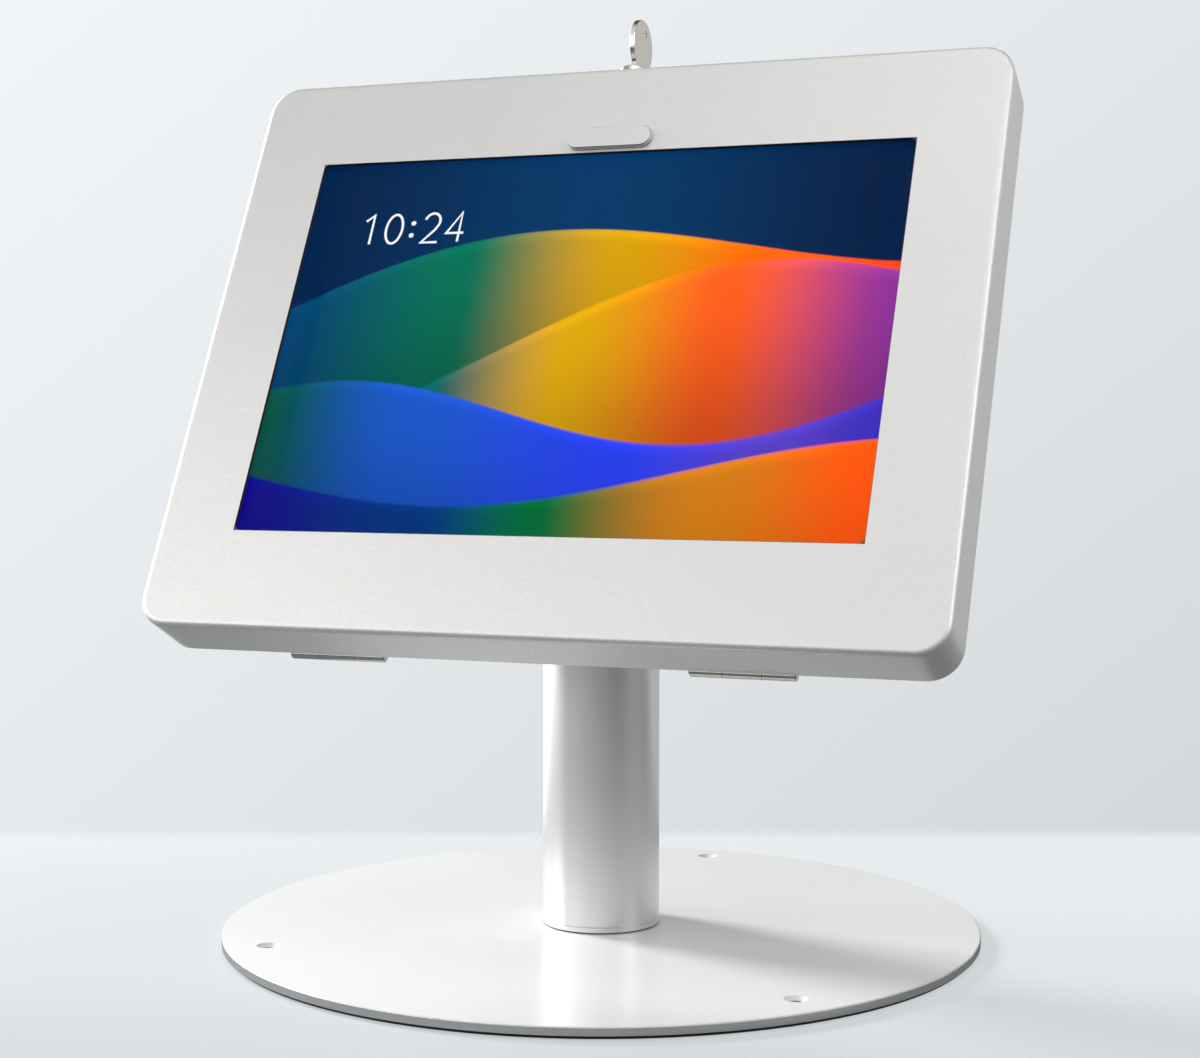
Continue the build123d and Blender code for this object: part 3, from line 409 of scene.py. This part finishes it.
# The tablet's picture: soft hills in front of one another, each with its own run of colours
DISPLAY_HALF_WIDTH = 121.0 * MM
DISPLAY_HALF_HEIGHT = 81.5 * MM
DISPLAY_BASE = (0.005, 0.005, 0.006, 1.0)
SKY = [(0.0, (0, 34, 76)), (0.5, (0, 56, 104)), (1.0, (0, 28, 68))]
HILLS = [
    # middle height, swing, waves across, phase, slope, run of colours from left to right
    (0.34, 0.30, 0.58, 2.2, 0.26, [
        (0.0, (0, 64, 110)), (0.3, (0, 112, 84)), (0.55, (216, 160, 0)),
        (0.8, (255, 96, 0)), (1.0, (255, 66, 0)),
    ]),
    (0.02, 0.26, 0.74, 0.5, 0.22, [
        (0.0, (0, 24, 140)), (0.28, (0, 96, 96)), (0.5, (222, 166, 0)),
        (0.74, (255, 92, 24)), (1.0, (140, 48, 150)),
    ]),
    (-0.34, 0.22, 0.80, 3.6, 0.10, [
        (0.0, (0, 80, 66)), (0.25, (24, 84, 196)), (0.6, (36, 60, 226)),
        (0.85, (84, 60, 190)), (1.0, (54, 44, 184)),
    ]),
    (-0.66, 0.16, 0.70, 5.4, 0.02, [
        (0.0, (6, 2, 128)), (0.3, (0, 48, 118)), (0.5, (0, 102, 50)),
        (0.75, (206, 122, 16)), (1.0, (255, 82, 0)),
    ]),
]

# A hill is brightest along its crest and darkens down its side. Depths are shares of half the height
CREST_SOFTNESS = 0.004
GLOW_DEPTH = 0.07
GLOW_TONE = 1.25
SIDE_DEPTH = 1.1
SIDE_TOP_TONE = 1.05
SIDE_FOOT_TONE = 0.55


def display_picture():
    made, s = new_material("display_picture")
    across, up = panel_place(s)
    x = s.math("DIVIDE", across, DISPLAY_HALF_WIDTH)
    y = s.math("DIVIDE", up, DISPLAY_HALF_HEIGHT)
    share = s.spread(x, -1.0, 1.0, 0.0, 1.0)
    picture = colour_run(s, share, SKY)
    for middle, swing, waves, phase, slope, stops in HILLS:
        turn = s.math("MULTIPLY_ADD", x, math.pi * waves, phase)
        crest = s.math("MULTIPLY_ADD", s.math("SINE", turn), swing, middle)
        crest = s.math("MULTIPLY_ADD", x, slope, crest)
        below = s.math("SUBTRACT", crest, y)
        inside = s.spread(below, -CREST_SOFTNESS, CREST_SOFTNESS, 0.0, 1.0)
        glow = s.spread(below, 0.0, GLOW_DEPTH, GLOW_TONE, 1.0, smooth=True)
        fall = s.spread(below, 0.0, SIDE_DEPTH, SIDE_TOP_TONE, SIDE_FOOT_TONE, smooth=True)
        hill = s.shade(colour_run(s, share, stops), s.times(glow, fall))
        picture = s.blend(inside, picture, hill)
    s.light_up(DISPLAY_BASE, picture)
    return made


# The glass is clear up to this far inside the picture's edge
CLEAR_MARGIN = 0.4 * MM
BORDER_COLOUR = (0.004, 0.004, 0.005, 1.0)
CLEAR_COLOUR = (1.0, 1.0, 1.0, 1.0)
SMUDGE_SIZE = 30 * MM
SMUDGE_LOW = 0.35
SMUDGE_HIGH = 0.75
SMUDGE_ROUGHNESS = (0.02, 0.05)


def screen_glass():
    """Clear over the picture, and black behind the border."""
    made, s = new_material("screen_glass")
    clear = in_panel_box(s, DISPLAY_HALF_WIDTH - CLEAR_MARGIN, DISPLAY_HALF_HEIGHT - CLEAR_MARGIN)
    smudge = s.spread(s.noise(SMUDGE_SIZE, detail=4.0), SMUDGE_LOW, SMUDGE_HIGH, *SMUDGE_ROUGHNESS)
    tone = s.blend(clear, BORDER_COLOUR, CLEAR_COLOUR)
    s.finish(Base_Color=tone, Roughness=smudge, IOR=1.05, Transmission_Weight=clear)
    return made


# Inside the tablet
WRINKLE_SIZE = 4 * MM
WRINKLE_STRETCH = (1, 6, 6)
WRINKLE_TONES = (0.9, 1.12)
WRINKLE_DEPTH = 0.1 * MM
BOARD_PART_SPACING = 6 * MM
BOARD_PART_HEIGHT = 0.4 * MM
BOARD_PART_INSIDE = 0.28
BOARD_PART_OUTSIDE = 0.3


def battery_wrap():
    made, s = new_material("battery_wrap")
    wrinkle = s.noise(WRINKLE_SIZE, detail=3.0, roughness=0.6, stretch=WRINKLE_STRETCH)
    tone = s.shade(rgb(46, 47, 50), s.vary(wrinkle, *WRINKLE_TONES))
    s.finish(Base_Color=tone, Roughness=0.32, Metallic=0.3, Normal=s.bump(wrinkle, WRINKLE_DEPTH))
    return made


def board_laminate():
    """Dark green board with a grid of small parts and copper lines."""
    made, s = new_material("board_laminate")
    lines = s.node(
        "ShaderNodeTexBrick",
        {
            "Vector": s.place(), "Scale": 260.0, "Color1": rgb(14, 52, 34), "Color2": rgb(20, 66, 42),
            "Mortar": rgb(120, 96, 52), "Mortar Size": 0.012,
        },
    )
    parts = s.spread(s.cells(BOARD_PART_SPACING), BOARD_PART_INSIDE, BOARD_PART_OUTSIDE, 1.0, 0.0)
    tone = s.blend(parts, lines.outputs["Color"], rgb(24, 24, 27))
    s.finish(Base_Color=tone, Roughness=0.42, Normal=s.bump(parts, BOARD_PART_HEIGHT))
    return made


# Materials of the nodes
COAT = {"colour": rgb(223, 222, 220), "metallic": 0.40, "roughness": 0.42, "grain": 0.9 * MM}
case_coat = powder_coat("case_coat", **COAT, depth=0.05 * MM, flecks=0.035)
cover_coat = powder_coat("cover_coat", **COAT, depth=0.05 * MM, flecks=0.035, window=True)
pill_coat = powder_coat("pill_coat", **COAT, depth=0.02 * MM, flecks=0.02, shaded_pill_edge=True)
column_coat = lacquer(
    "column_coat", rgb(218, 218, 218), metallic=0.7, roughness=0.3, stretch=(30, 30, 1), swing=0.006,
    brushed=0.5, column_foot_shadow=True,
)
base_coat = lacquer(
    "base_coat", rgb(236, 236, 235), metallic=0.0, roughness=0.22, stretch=(50, 1, 1), swing=0.008,
    bare_edge=True,
)
pad_rubber = moulded("pad_rubber", rgb(58, 58, 60), roughness=0.75)
grommet_rubber = moulded("grommet_rubber", rgb(30, 30, 32), roughness=0.6)
zinc_steel = satin_metal(
    "zinc_steel", rgb(196, 198, 202), roughness=0.3, grain=1.0 * MM, depth=0.004 * MM,
)
head_casting = powder_coat(
    "head_casting", rgb(205, 205, 204), metallic=0.3, roughness=0.45, grain=0.7 * MM,
    depth=0.03 * MM, flecks=0.05,
)
hinge_steel = polished_metal("hinge_steel", rgb(188, 186, 183), roughness=0.12)
nickel = polished_metal("nickel", rgb(222, 217, 210), roughness=0.2)
friction_fibre = moulded(
    "friction_fibre", rgb(72, 66, 60), roughness=0.8, grain=0.8 * MM, mottle=0.14,
)
bracket_nylon = moulded("bracket_nylon", rgb(34, 34, 36), roughness=0.5)
foam = moulded(
    "foam", rgb(44, 44, 46), roughness=0.95, grain=0.7 * MM, depth=0.12 * MM, mottle=0.2, specular=0.1,
)
tablet_aluminium = satin_metal("tablet_aluminium", rgb(176, 178, 182), roughness=0.38, grain=0.3 * MM)
button_aluminium = satin_metal("button_aluminium", rgb(184, 186, 190), roughness=0.34, grain=0.3 * MM)

FINISHES = {
    "base_pad": pad_rubber,
    "base_plate": base_coat,
    "column_foot": column_coat,
    "column_foot_screws": zinc_steel,
    "column_tube": column_coat,
    "column_cable_grommet": grommet_rubber,
    "column_head": head_casting,
    "column_head_grub_screws": zinc_steel,
    "tilt_bolt": zinc_steel,
    "tilt_washers": zinc_steel,
    "tilt_nut": zinc_steel,
    "tilt_arm": head_casting,
    "tilt_friction_discs": friction_fibre,
    "swivel_friction_washers": friction_fibre,
    "swivel_tube": zinc_steel,
    "swivel_spring_washer": zinc_steel,
    "swivel_nut": zinc_steel,
    "swivel_stop_pin": zinc_steel,
    "vesa_plate": case_coat,
    "vesa_screws": zinc_steel,
    "vesa_clinch_nuts": zinc_steel,
    "back_panel": case_coat,
    "hinge_fixed_leaves": hinge_steel,
    "hinge_pins": hinge_steel,
    "hinge_moving_leaves": hinge_steel,
    "corner_brackets": bracket_nylon,
    "corner_bracket_screws": zinc_steel,
    "corner_bracket_pads": foam,
    "strike_plate": zinc_steel,
    "strike_screws": zinc_steel,
    "tablet_shell": tablet_aluminium,
    "tablet_glass": screen_glass(),
    "tablet_display": display_picture(),
    "tablet_battery": battery_wrap(),
    "tablet_board": board_laminate(),
    "tablet_power_button": button_aluminium,
    "tablet_volume_up_button": button_aluminium,
    "tablet_volume_down_button": button_aluminium,
    "front_cover": cover_coat,
    "window_gasket": foam,
    "camera_cover": pill_coat,
    "lock_housing": nickel,
    "lock_nut": zinc_steel,
    "lock_plug": nickel,
    "lock_cam": zinc_steel,
    "lock_cam_screw": zinc_steel,
    "key": nickel,
}

for name, finish in FINISHES.items():
    mesh = nodes[name].data
    mesh.materials.clear()
    mesh.materials.append(finish)


# Plain numbers on the tablet's screen, thin strips inside the glass
DIGIT_WIDTH = 7.6 * MM
DIGIT_HEIGHT = 13.0 * MM
DIGIT_STEP = 10.4 * MM
COLON_STEP = 5.6 * MM
STROKE_WIDTH = 1.0 * MM
STROKE_BACK = -2.82 * MM
STROKE_FRONT = -2.74 * MM
CLOCK_START = (-98.0 * MM, 44.0 * MM)
DIGIT_COLOUR = (0.93, 0.95, 1.0)
DIGIT_BASE = (0.01, 0.01, 0.01, 1.0)
DIGIT_GRAIN = 0.6 * MM
DIGIT_TONES = (0.96, 1.0)

ARC_STEPS = 28
DOT_STEPS = 8

# A run whose ends are nearer than this is closed
CLOSED_GAP = 0.01 * MM

# A strip has four long edges. Its width grows at a turn, as a mitre does, up to the longest
STRIP_EDGES = 4
SHARPEST_TURN = 0.5
LONGEST_MITRE = 1.8


def arc(centre, radii, start, end, steps=ARC_STEPS):
    """Points along an oval arc, with its angles in degrees."""
    points = []
    for i in range(steps + 1):
        angle = math.radians(start + (end - start) * i / steps)
        points.append((centre[0] + radii[0] * math.cos(angle), centre[1] + radii[1] * math.sin(angle)))
    return points


def dot_outline(height):
    return arc((0.18, height), (0.07, 0.04), 0, 360, DOT_STEPS)


# Each figure in a box 1 wide and 1 high
FIGURES = {
    "0": [arc((0.5, 0.5), (0.46, 0.5), 0, 360)],
    "1": [[(0.18, 0.80), (0.60, 1.0), (0.60, 0.0)]],
    "2": [arc((0.5, 0.72), (0.42, 0.28), 165, -25) + [(0.72, 0.43), (0.06, 0.0), (0.96, 0.0)]],
    "4": [[(0.72, 0.0), (0.72, 1.0), (0.02, 0.30), (0.98, 0.30)]],
    ":": [dot_outline(0.68), dot_outline(0.26)],
}


def strip_sides(points, closed):
    """Points half a stroke to each side of a run of points."""
    count = len(points)
    sides = []
    for i, point in enumerate(points):
        before = points[(i - 1) % count] if closed or i > 0 else point
        after = points[(i + 1) % count] if closed or i < count - 1 else point
        into = (point - before).normalized() if point != before else (after - point).normalized()
        onward = (after - point).normalized() if after != point else into
        along = (into + onward).normalized()
        across = Vector((-along.y, along.x))
        stretch = min(1 / max(along.dot(onward), SHARPEST_TURN), LONGEST_MITRE)
        half = across * STROKE_WIDTH / 2 * stretch
        sides.append((point + half, point - half))
    return sides


def on_panel(across, up, out):
    return PANEL_CENTRE + PANEL_ACROSS * across + PANEL_UP * up + PANEL_OUT * out


def add_strip(vertices, faces, points):
    closed = (points[0] - points[-1]).length < CLOSED_GAP
    if closed:
        points = points[:-1]
    first = len(vertices)
    for left, right in strip_sides(points, closed):
        vertices.append(on_panel(left.x, left.y, STROKE_FRONT))
        vertices.append(on_panel(right.x, right.y, STROKE_FRONT))
        vertices.append(on_panel(right.x, right.y, STROKE_BACK))
        vertices.append(on_panel(left.x, left.y, STROKE_BACK))
    count = len(points)
    for i in range(count if closed else count - 1):
        here = first + STRIP_EDGES * i
        there = first + STRIP_EDGES * ((i + 1) % count)
        for k in range(STRIP_EDGES):
            onward = (k + 1) % STRIP_EDGES
            faces.append((here + k, here + onward, there + onward, there + k))
    if not closed:
        last = first + STRIP_EDGES * (count - 1)
        faces.append((first + 3, first + 2, first + 1, first))
        faces.append((last, last + 1, last + 2, last + 3))


def lit_white():
    made, s = new_material("lit_white")
    tone = s.shade(DIGIT_COLOUR, s.vary(s.noise(DIGIT_GRAIN, detail=1.0), *DIGIT_TONES))
    s.light_up(DIGIT_BASE, tone)
    return made


def make_clock(text):
    vertices = []
    faces = []
    left, low = CLOCK_START
    for figure in text:
        for run in FIGURES[figure]:
            points = [Vector((left + x * DIGIT_WIDTH, low + y * DIGIT_HEIGHT)) for x, y in run]
            add_strip(vertices, faces, points)
        left += COLON_STEP if figure == ":" else DIGIT_STEP
    mesh = bpy.data.meshes.new("clock_digits")
    mesh.from_pydata(vertices, [], faces)
    mesh.materials.append(lit_white())
    clock = bpy.data.objects.new("clock_digits", mesh)
    bpy.context.scene.collection.objects.link(clock)
    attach(clock, "enclosure")


make_clock("10:24")


# Stage: a pale floor that ends softly behind the stand, in front of a pale backdrop
FLOOR_DROP = 0.2 * MM
FLOOR_REACH = 4.0
FLOOR_FADE_START = 0.178
FLOOR_FADE_END = 0.208

# The lamps light the first share of the floor's tone, and so shade it. The second always shows
FLOOR_SHADED = 0.32
FLOOR_LIT = 0.595

# The floor's colours by their distance behind the stand, and its tones from left to right
FLOOR_COLOURS = [
    (-0.27, (212, 217, 220)),
    (-0.15, (223, 228, 231)),
    (-0.05, (230, 235, 238)),
    (0.06, (235, 240, 243)),
    (0.2, (237, 242, 245)),
]
FLOOR_SIDE = 0.45
FLOOR_LEFT_TONE = 0.924
FLOOR_RIGHT_TONE = 1.117


def make_floor():
    mesh = bpy.data.meshes.new("floor")
    corners = [(x, y, -FLOOR_DROP) for x, y in ((-1, -1), (1, -1), (1, 1), (-1, 1))]
    corners = [(x * FLOOR_REACH, y * FLOOR_REACH, z) for x, y, z in corners]
    mesh.from_pydata(corners, [], [(0, 1, 2, 3)])
    floor = bpy.data.objects.new("floor", mesh)
    bpy.context.scene.collection.objects.link(floor)

    material, s = new_material("floor")
    mesh.materials.append(material)
    behind = s.dot(s.place(), -VIEW_BACK)
    shown = s.spread(behind, FLOOR_FADE_START, FLOOR_FADE_END, 1.0, 0.0, smooth=True)
    first, last = FLOOR_COLOURS[0][0], FLOOR_COLOURS[-1][0]
    share = s.spread(behind, first, last, 0.0, 1.0)
    stops = [((where - first) / (last - first), colour) for where, colour in FLOOR_COLOURS]
    sideways = s.dot(s.place(), VIEW_RIGHT)
    across = s.spread(sideways, -FLOOR_SIDE, FLOOR_SIDE, FLOOR_LEFT_TONE, FLOOR_RIGHT_TONE)
    tone = s.shade(colour_run(s, share, stops), across)
    diffuse = s.node("ShaderNodeBsdfDiffuse", {"Color": s.shade(tone, FLOOR_SHADED)})
    path = s.node("ShaderNodeLightPath")
    strength = s.times(path.outputs["Is Camera Ray"], FLOOR_LIT)
    lit = s.node("ShaderNodeEmission", {"Color": tone, "Strength": strength})
    both = s.node("ShaderNodeAddShader", {0: diffuse.outputs[0], 1: lit.outputs[0]})
    clear = s.node("ShaderNodeBsdfTransparent")
    mixed = s.node("ShaderNodeMixShader", {"Fac": shown, 1: clear.outputs[0], 2: both.outputs[0]})
    s.output("ShaderNodeOutputMaterial", mixed)


# The backdrop's brightness at the stand's level, how it changes to the right and upwards, and
# its limits
BACKDROP_LEVEL = 0.795
BACKDROP_RIGHTWARDS = -0.23
BACKDROP_UPWARDS = 0.28
BACKDROP_DARKEST = 0.60
BACKDROP_LIGHTEST = 0.97
BACKDROP_TINT = (0.97, 1.01, 1.04)

# The little light that comes from all round
AMBIENT_COLOUR = (0.97, 0.99, 1.0, 1.0)
AMBIENT_STRENGTH = 0.02

# Brightness that shiny surfaces mirror, in equal steps of angle round the stand: from behind it
# by its left, its front and its right to behind it again, near the floor's level and overhead
MIRRORED_LOW = [0.6, 1.4, 1.9, 1.8, 1.68, 1.2, 0.7, 0.41, 0.61, 0.67, 0.74, 0.58, 0.6]
MIRRORED_HIGH = [0.02, 0.40, 1.72, 0.20, 0.02]
OVERHEAD_START = 0.35
OVERHEAD_FULL = 0.55
WHITE = (1.0, 1.0, 1.0, 1.0)


def grey_run(s, share, levels):
    """Brightness along a share from 0 to 1, in equal steps."""
    stops = [(i / (len(levels) - 1), (level, level, level, 1.0)) for i, level in enumerate(levels)]
    return s.dot(s.ramp(share, stops), (1.0, 0.0, 0.0))


def make_world():
    world = bpy.data.worlds.new("world")
    bpy.context.scene.world = world
    s = Shader(world)
    direction = s.node("ShaderNodeTexCoord").outputs["Generated"]
    sideways = s.dot(direction, VIEW_RIGHT)
    upwards = s.dot(direction, VIEW_UP)
    level = s.math("MULTIPLY_ADD", sideways, BACKDROP_RIGHTWARDS, BACKDROP_LEVEL)
    level = s.math("MULTIPLY_ADD", upwards, BACKDROP_UPWARDS, level)
    level = s.spread(level, BACKDROP_DARKEST, BACKDROP_LIGHTEST, BACKDROP_DARKEST, BACKDROP_LIGHTEST)
    seen = s.shade(BACKDROP_TINT, level)
    turn = s.math("ARCTAN2", sideways, s.dot(direction, VIEW_BACK))
    round_share = s.spread(turn, -math.pi, math.pi, 0.0, 1.0)
    overhead = s.spread(upwards, OVERHEAD_START, OVERHEAD_FULL, 0.0, 1.0, smooth=True)
    low = grey_run(s, round_share, MIRRORED_LOW)
    high = grey_run(s, round_share, MIRRORED_HIGH)
    mirrored = s.math("MULTIPLY_ADD", overhead, s.math("SUBTRACT", high, low), low)
    path = s.node("ShaderNodeLightPath")
    glossy = s.node("ShaderNodeBackground", {"Color": WHITE, "Strength": mirrored})
    backdrop = s.node("ShaderNodeBackground", {"Color": seen, "Strength": 1.0})
    ambient = s.node("ShaderNodeBackground", {"Color": AMBIENT_COLOUR, "Strength": AMBIENT_STRENGTH})
    shown = s.math("MAXIMUM", path.outputs["Is Camera Ray"], path.outputs["Is Transmission Ray"])
    mixed = s.node("ShaderNodeMixShader", {"Fac": shown, 1: ambient.outputs[0], 2: backdrop.outputs[0]})
    mixed = s.node(
        "ShaderNodeMixShader",
        {"Fac": path.outputs["Is Glossy Ray"], 1: mixed.outputs[0], 2: glossy.outputs[0]},
    )
    s.output("ShaderNodeOutputWorld", mixed)


# Soft lamps. Two of them light the stand but don't show in its shiny surfaces
STAND_MIDDLE = (0, 0, 0.17)
CASE_CORNER = (0.12, -0.02, 0.30)
LAMPS = [
    # name, direction by the view's right, back and up, distance, size, level, mirrored, aim
    ("lamp_key", (-0.743, -0.554, 0.418), 1.5, 0.4, 1.30, True, STAND_MIDDLE),
    ("lamp_left", (-0.97, -0.10, 0.25), 1.5, 0.8, 0.40, True, STAND_MIDDLE),
    ("lamp_left_front", (-0.75, 0.50, 0.45), 1.5, 0.8, 0.15, True, STAND_MIDDLE),
    ("lamp_front", (-0.10, 0.85, 0.50), 1.5, 0.8, 0.17, False, STAND_MIDDLE),
    ("lamp_right", (0.718, 0.408, 0.423), 1.5, 0.8, 0.29, True, STAND_MIDDLE),
    ("lamp_right_near", (0.45, 0.5, 0.75), 0.35, 0.2, 0.42, False, CASE_CORNER),
    ("lamp_top", (0.0, 0.05, 1.0), 1.5, 1.2, 0.08, True, STAND_MIDDLE),
]


def soft_light(name, place, distance, size, level, mirrored, aim):
    """A square lamp. A facing white surface at the aim is lit to the level, where 1 is white."""
    right, back, up = place
    direction = (VIEW_RIGHT * right + VIEW_BACK * back + VIEW_UP * up).normalized()
    data = bpy.data.lights.new(name, "AREA")
    data.shape = "SQUARE"
    data.size = size
    data.energy = level * (math.pi * distance) ** 2
    lamp = bpy.data.objects.new(name, data)
    lamp.location = Vector(aim) + direction * distance
    lamp.rotation_mode = "QUATERNION"
    lamp.rotation_quaternion = direction.to_track_quat("Z", "Y")
    lamp.visible_glossy = mirrored
    bpy.context.scene.collection.objects.link(lamp)


make_floor()
make_world()
for settings in LAMPS:
    soft_light(*settings)

bpy.context.scene.view_settings.view_transform = "Standard"
